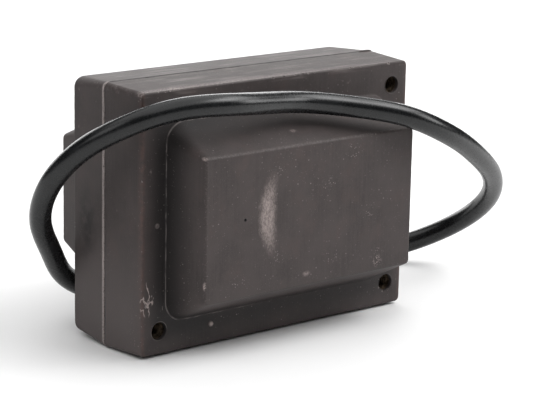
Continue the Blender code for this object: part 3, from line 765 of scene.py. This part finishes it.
# marks on the front half: lengths in mm, outlines as (radius, height)
marks = {
    "pip": {
        "x": -27.4, "z": 7.2,
        "outline": ((0, -0.4), (0.95, -0.4), (0.95, 0.02), (0.86, 0.30), (0.62, 0.50), (0.30, 0.60),
                    (0, 0.63)),
    },
    "ringPip": {
        "x": -48.9, "z": 42.3,
        "outline": ((0, -0.4), (0.90, -0.4), (0.90, 0.05), (0.75, 0.26), (0.55, 0.26), (0.38, 0.06),
                    (0, 0.04)),
    },
    "pinhole": {
        "x": -27.4, "z": 44.4,
        "outline": ((0, 0.6), (0.34, 0.6), (0.34, -0.1), (0.14, -0.8), (0, -0.85)),
    },
    "flash": {"x": 52.0, "beforeJoint": 0.55, "belowTop": 0.15, "reach": (3.0, 0.45, 0.60)},
    # (place, reach)
    "chips": (
        ((-43.3, -37.6, 65.7), (0.9, 0.5, 0.5)),            # the boss's left corners
        ((-42.9, -37.6, 25.8), (0.4, 0.5, 1.1)),
        ((-41.4, -20.9, 84.3), (1.3, 0.7, 0.5)),            # the top edge
        ((-44.6, -20.9, 84.4), (0.7, 0.5, 0.5)),
        ((-48.7, -21.2, 82.3), (0.45, 0.6, 0.45)),
        ((-53.2, -21.2, 17.4), (0.6, 0.40, 1.2)),           # low on the left edge
        ((-52.2, -21.2, 18.6), (0.6, 0.45, 1.1)),
        ((-50.9, -21.2, 20.2), (0.4, 0.35, 0.9)),
    ),
    # round the lower right mouth: (degrees, reach)
    "mouthChips": ((205, 0.7), (250, 0.55), (295, 0.5), (150, 0.45), (340, 0.4)),
    "topChips": 16,
    "leftChips": 7,
    "seed": 11,
}


def frontChips():
    chips = [(inMm(place), inMm(reach)) for place, reach in marks["chips"]]
    mouth = holeFace("insert_bottom_right")
    for angle, reach in marks["mouthChips"]:
        turn = math.radians(angle)
        out = Vector((math.cos(turn), 0, math.sin(turn)))
        chips.append((mouth + out * (holes["mouthRadius"] + 0.15 * mm), inMm((reach, 0.5, reach))))
    draw = random.Random(marks["seed"])
    inside = 0.1 * mm
    topEdgeZ = middleZ + case["halfHeight"]
    for _ in range(marks["topChips"]):
        size = draw.uniform(0.25, 0.6) * mm
        place = (draw.uniform(-50, 50) * mm, flangeY + inside, topEdgeZ - inside)
        chips.append((place, (size * 1.6, size, size)))
    for _ in range(marks["leftChips"]):
        size = draw.uniform(0.16, 0.32) * mm
        place = (-case["halfWidth"] + inside, flangeY + inside, draw.uniform(6, 78) * mm)
        chips.append((place, (size, size, size * 1.8)))
    return chips


def makeFrontCase():
    form = caseForm(frontHalf)
    wearEdges(form, 3.0)
    piece = pieceFrom(form, "frontCase", caseMaterial)

    # raised rims round the mouths
    mouth, edge, height = holes["mouthRadius"], holes["mouthEdge"], holes["rimHeight"]
    sunk = 0.3 * mm
    rim = [(mouth - sunk, -sunk), (holes["rimRadius"], -sunk), (holes["rimRadius"], 0.3 * height),
           (holes["rimRadius"] - 0.15 * mm, height), (mouth - sunk, height)]
    for name in insertNames:
        cutTurned(piece, "rim", rim, holeFace(name), towardsFront, 48, "UNION", bored=True)

    # moulded pips, and a small flash at the joint's right end
    for name in ("pip", "ringPip"):
        mark = marks[name]
        place = (mark["x"] * mm, flangeY, mark["z"] * mm)
        cutTurned(piece, name, [inMm(pair) for pair in mark["outline"]], place, towardsFront, 32, "UNION")
    mark = marks["flash"]
    place = (mark["x"] * mm, frontHigh.y - mark["beforeJoint"] * mm, frontHigh.z - mark["belowTop"] * mm)
    flash = bmesh.new()
    bmesh.ops.create_icosphere(flash, subdivisions=3, radius=1.0)
    bmesh.ops.scale(flash, verts=flash.verts, vec=inMm(mark["reach"]))
    bmesh.ops.translate(flash, verts=flash.verts, vec=place)
    carve(piece, pieceFrom(flash, "flash", caseMaterial), "UNION")

    # pockets for the inserts, wider than their mouths
    low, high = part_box(insertNames[0])
    radius = (high.x - low.x) / 2 + holes["clearance"]
    end = -(low.y - flangeY + high.y - low.y + holes["clearance"])
    above = 1.0 * mm
    pocket = [(0, above), (mouth + edge, above), (mouth + edge, height), (mouth, height - edge),
              (mouth, -holes["mouthDepth"]), (radius, -holes["mouthDepth"]), (radius, end), (0, end)]
    for name in insertNames:
        cutTurned(piece, "pocket", pocket, holeFace(name), towardsFront, 48)

    mark = marks["pinhole"]
    place = (mark["x"] * mm, frontLow.y, mark["z"] * mm)
    cutTurned(piece, "pinhole", [inMm(pair) for pair in mark["outline"]], place, towardsFront, 24)
    cutChips(piece, frontChips(), 5.0)
    settle(piece)
    rideAs(piece, "moulded_case", "front_case")


block = {
    "halfLength": 10.0 * mm, "low": 1.6 * mm, "high": 16.0 * mm, "back": 32.5 * mm, "edge": 0.8 * mm,
    "socketRadius": 3.8 * mm, "socketDepth": 4.6 * mm, "outletY": 26.0 * mm, "outletZ": 7.5 * mm,
    "clearance": 0.3 * mm, "contactWidth": 4.0 * mm, "bladeThickness": 0.8 * mm,
    "padX": 5.2 * mm, "padZ": 2.4 * mm, "padHeight": 1.0 * mm, "padEdge": 0.5 * mm,
    "ejectorMarks": ((-49, 70), (49, 70), (-49, 14), (49, 14)),     # (x, z) in mm
    "markRadius": 1.9 * mm, "markDepth": 0.15 * mm,
}


def makeRearCase():
    form = caseForm(rearHalf)
    wearEdges(form, 8.0)
    piece = pieceFrom(form, "rearCase", caseMaterial)
    face = rearHalf["face"]
    inside = face - case["wall"] / 2
    above = 1 * mm
    gap = Vector((1, 1, 1)) * block["clearance"]

    shape = boxForm((-block["halfLength"], inside, block["low"]),
                    (block["halfLength"], block["back"], block["high"]))
    outer = [edge for edge in shape.edges if max(v.co.y for v in edge.verts) > face]
    bevelled(shape, outer, block["edge"], 4)
    carve(piece, pieceFrom(shape, "outletBlock", caseMaterial), "UNION")

    # a raised pad round each blade, and the bent slot that the blade stands in
    for hand in ("left", "right"):
        low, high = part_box(f"lt_blade_{hand}")
        thick = block["bladeThickness"]
        middle = Vector(((low.x + high.x) / 2, 0, high.z - thick / 2))
        pad = boxForm((middle.x - block["padX"], inside, middle.z - block["padZ"]),
                      (middle.x + block["padX"], face + block["padHeight"], middle.z + block["padZ"]))
        rounded = [edge for edge in pad.edges if max(v.co.y for v in edge.verts) > face]
        bevelled(pad, rounded, block["padEdge"], 3)
        carve(piece, pieceFrom(pad, "pad", caseMaterial), "UNION")
        past = Vector((0, 5 * mm, 0))
        cutBox(piece, "bladeSlot", Vector((low.x, low.y, high.z - thick)) - gap, high + gap + past)
        cutBox(piece, "bladeSlot", low - gap, Vector((high.x, low.y + thick, high.z)) + gap)

    # sockets for the glands, and the channels for the contacts behind them
    radius, depth = block["socketRadius"], block["socketDepth"]
    socket = [(0, above), (radius, above), (radius, -depth), (0, -depth)]
    for sign, hand, turn in ((-1, "left", towardsLeft), (1, "right", towardsRight)):
        place = (sign * block["halfLength"], block["outletY"], block["outletZ"])
        cutTurned(piece, "socket", socket, place, turn, 40)
        low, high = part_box(f"ht_contact_{hand}")
        wide = block["contactWidth"]
        cutBox(piece, "channel", low - gap, Vector((high.x, high.y, low.z + wide)) + gap)
        cutBox(piece, "channel", low - gap, Vector((high.x, low.y + wide, high.z)) + gap)

    radius, depth = block["markRadius"], block["markDepth"]
    mark = [(0, above), (radius, above), (radius, -depth), (0, -depth)]
    for x, z in block["ejectorMarks"]:
        cutTurned(piece, "ejectorMark", mark, (x * mm, face, z * mm), towardsRear)
    settle(piece)
    rideAs(piece, "moulded_case", "rear_case")


# threaded inserts
insert = {
    "pitch": 1.0 * mm, "depth": 0.46 * mm, "leadIn": 0.7 * mm, "minorRadius": 2.5 * mm,
    "chamfer": 0.25 * mm,
    "waist": (0.40, 0.42, 0.58, 0.60),      # shares of the length
    "stepsPerPitch": 8, "sides": 40,
}


def makeInsert(name):
    low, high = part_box(name)
    outer = (high.x - low.x) / 2
    length = high.y - low.y
    minor, chamfer = insert["minorRadius"], insert["chamfer"]
    narrow = outer - chamfer
    count = int(length / insert["pitch"] * insert["stepsPerPitch"])
    waist = [-share * length for share in insert["waist"]]
    outside = [(narrow, 0), (outer, -chamfer), (outer, waist[0]), (narrow, waist[1]), (narrow, waist[2]),
               (outer, waist[3]), (outer, chamfer - length), (narrow, -length)]
    bore = [(minor, -length + length * index / count) for index in range(count + 1)]
    form = turnedForm(outside + bore, insert["sides"], bored=True)
    # the bore's points move out along a helix, and all round at the lead-in
    for v in form.verts:
        radius = math.hypot(v.co.x, v.co.y)
        if radius > minor + 0.1 * mm:
            continue
        turns = v.co.z / insert["pitch"] - math.atan2(v.co.y, v.co.x) / (2 * math.pi)
        wave = 1 - abs(2 * (turns % 1.0) - 1)
        groove = min(1.0, max(0.0, wave * 1.5 - 0.15)) * insert["depth"]
        mouth = max(0.0, 1 + v.co.z / insert["leadIn"]) * insert["depth"]
        scale = (radius + max(groove, mouth)) / radius
        v.co.x *= scale
        v.co.y *= scale
    place = Vector(((low.x + high.x) / 2, low.y, (low.z + high.z) / 2))
    bmesh.ops.recalc_face_normals(form, faces=form.faces)
    put(form, place, towardsFront)
    piece = pieceFrom(form, name.replace("insert", "threadedInsert"), insertMaterial, 50)
    rideAs(piece, "brass", name)


# glands and blades
gland = {
    # the ribbed sleeve: (radius, distance back from the tip) in mm
    "sleeve": ((0, 0), (3.75, 0), (3.90, 0.15), (3.95, 0.8), (4.10, 1.0), (4.28, 1.2), (4.30, 1.9),
               (4.08, 2.1), (4.12, 2.9), (4.42, 3.1), (4.46, 3.9), (4.22, 4.1), (4.28, 4.9),
               (4.58, 5.1), (4.66, 6.0)),
    # the collar on the outlet block: (radius, height) in mm
    "collar": ((4.70, 3.3), (5.20, 3.0), (5.42, 2.8), (5.50, 2.5), (5.50, 0.8), (5.40, 0.5),
               (5.20, 0.3), (3.50, 0.3)),
    "rootRadius": 3.50 * mm,
    "sides": 48,
}


def makeGland(hand, turn):
    low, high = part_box(f"ht_gland_{hand}")
    start = Vector((-1 if hand == "left" else 1, 0, 0)) * block["halfLength"]
    place = start + Vector((0, block["outletY"], block["outletZ"]))
    tip = max(abs(low.x), abs(high.x)) - block["halfLength"]
    root = min(abs(low.x), abs(high.x)) - block["halfLength"]
    outline = [(radius * mm, tip - back * mm) for radius, back in gland["sleeve"]]
    outline += [inMm(pair) for pair in gland["collar"]] + [(gland["rootRadius"], root), (0, root)]
    form = put(turnedForm(outline, gland["sides"]), place, turn)
    rideAs(pieceFrom(form, f"gland{hand.title()}", glandMaterial, 50), "lead_rubber", f"ht_gland_{hand}")


blade = {"corner": 1.3 * mm, "edge": 0.22 * mm, "holeRadius": 0.9 * mm, "holeFromTip": 4.2 * mm}


def makeBlade(hand):
    name = f"lt_blade_{hand}"
    form = bmesh.new()
    form.from_mesh(nodes[name].data)
    bmesh.ops.remove_doubles(form, verts=form.verts, dist=0.001 * mm)
    bmesh.ops.dissolve_limit(form, angle_limit=0.02, verts=form.verts, edges=form.edges)
    low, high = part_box(name)

    def tipEdges():             # each with its height
        edges = [e for e in form.edges if min(v.co.y for v in e.verts) > high.y - 0.1 * mm]
        return [(e, abs(e.verts[0].co.z - e.verts[1].co.z)) for e in edges]

    bevelled(form, [e for e, height in tipEdges() if height > 0.4 * mm], blade["corner"], 1)
    bevelled(form, [e for e, height in tipEdges() if height < 0.1 * mm], blade["edge"], 1)
    bmesh.ops.recalc_face_normals(form, faces=form.faces)
    piece = pieceFrom(form, f"blade{hand.title()}", bladeMaterial)
    radius, reach = blade["holeRadius"], 3 * mm
    hole = turnedForm([(0, reach), (radius, reach), (radius, -reach), (0, -reach)], 32)
    place = ((low.x + high.x) / 2, high.y - blade["holeFromTip"], high.z)
    carve(piece, pieceFrom(put(hole, place, Matrix.Identity(4)), "hole", bladeMaterial))
    settle(piece)
    rideAs(piece, "brass", name)


# the CAD pieces that stay, each with its finish
def dressNodes():
    copper = woundWire("windingFine", 0.16, (0.42, 0.15, 0.05), (0.16, 0.05, 0.02))
    heavy = woundWire("windingHeavy", 0.65, (0.48, 0.18, 0.06), (0.18, 0.06, 0.02))
    finishes = (
        (plain("gasketRubber", (0.035, 0.033, 0.032), (0.018, 0.017, 0.016), 1.0, 0.70), ["seam_gasket"]),
        (steelStack(), ["core_e_stack", "core_i_stack"]),
        (plain("pressedPaper", (0.60, 0.48, 0.29), (0.42, 0.32, 0.18), 0.8, 0.75),
         ["core_gap_shim", "insulation_wrap"]),
        (metal("rivetSteel", (0.42, 0.42, 0.43), (0.20, 0.18, 0.17), 0.9, 0.30),
         ["core_rivet_e_top", "core_rivet_e_bottom", "core_rivet_i_top", "core_rivet_i_bottom"]),
        (plain("bobbinNylon", (0.66, 0.62, 0.54), (0.52, 0.47, 0.38), 0.5, 0.42),
         ["primary_bobbin", "secondary_bobbin"]),
        (heavy, ["primary_winding"]),
        (copper, [f"secondary_winding_{number}" for number in (1, 2, 3, 4)]),
        (plain("pottingResin", (0.055, 0.048, 0.042), (0.028, 0.024, 0.021), 0.25, 0.25),
         ["resin_front", "resin_rear"]),
        (metal("contactBrass", (0.62, 0.45, 0.20), (0.34, 0.22, 0.09), 0.8, 0.28),
         ["ht_contact_left", "ht_contact_right"]),
    )
    for finish, names in finishes:
        for name in names:
            materials = nodes[name].data.materials
            materials.clear()
            materials.append(finish)


def makeStage():
    scene = bpy.context.scene
    scene.view_settings.view_transform = "Standard"
    world = bpy.data.worlds.new("studio")
    world.use_nodes = True
    background = world.node_tree.nodes["Background"]
    background.inputs["Color"].default_value = studio["worldColour"]
    background.inputs["Strength"].default_value = studio["worldStrength"]
    scene.world = world
    form = bmesh.new()
    bmesh.ops.create_grid(form, x_segments=8, y_segments=8, size=studio["floorSize"] / 2)
    bmesh.ops.translate(form, verts=form.verts, vec=(0, 0, -0.05 * mm))
    paper = Surface("palePaper")
    floor = pieceFrom(form, "floor", paper.finish(studio["floorColour"], 0.75))
    for name, (place, target, width, height, watts) in studio["lights"].items():
        data = bpy.data.lights.new(name, "AREA")
        data.shape = "RECTANGLE"
        data.size = width
        data.size_y = height
        data.energy = watts
        light = bpy.data.objects.new(name, data)
        light.location = place
        light.rotation_euler = (Vector(target) - Vector(place)).to_track_quat("-Z", "Y").to_euler()
        scene.collection.objects.link(light)


makeCamera()
makeLead()
print("lead done")
makeStage()
caseMaterial = caseMoulding()
chipMaterial = brokenMoulding()
insertMaterial = metal("insertBrass", (0.095, 0.072, 0.050), (0.022, 0.017, 0.014), 0.7, 0.45)
glandMaterial = glandRubber()
bladeMaterial = metal("tinnedBlade", (0.52, 0.50, 0.46), (0.27, 0.25, 0.22), 0.6, 0.36)
makeFrontCase()
print("front case done")
makeRearCase()
print("rear case done")
for insertName in insertNames:
    makeInsert(insertName)
for glandHand, glandTurn in (("left", towardsLeft), ("right", towardsRight)):
    makeGland(glandHand, glandTurn)
    makeBlade(glandHand)
print("small pieces done")
dressNodes()
print("finishes done")
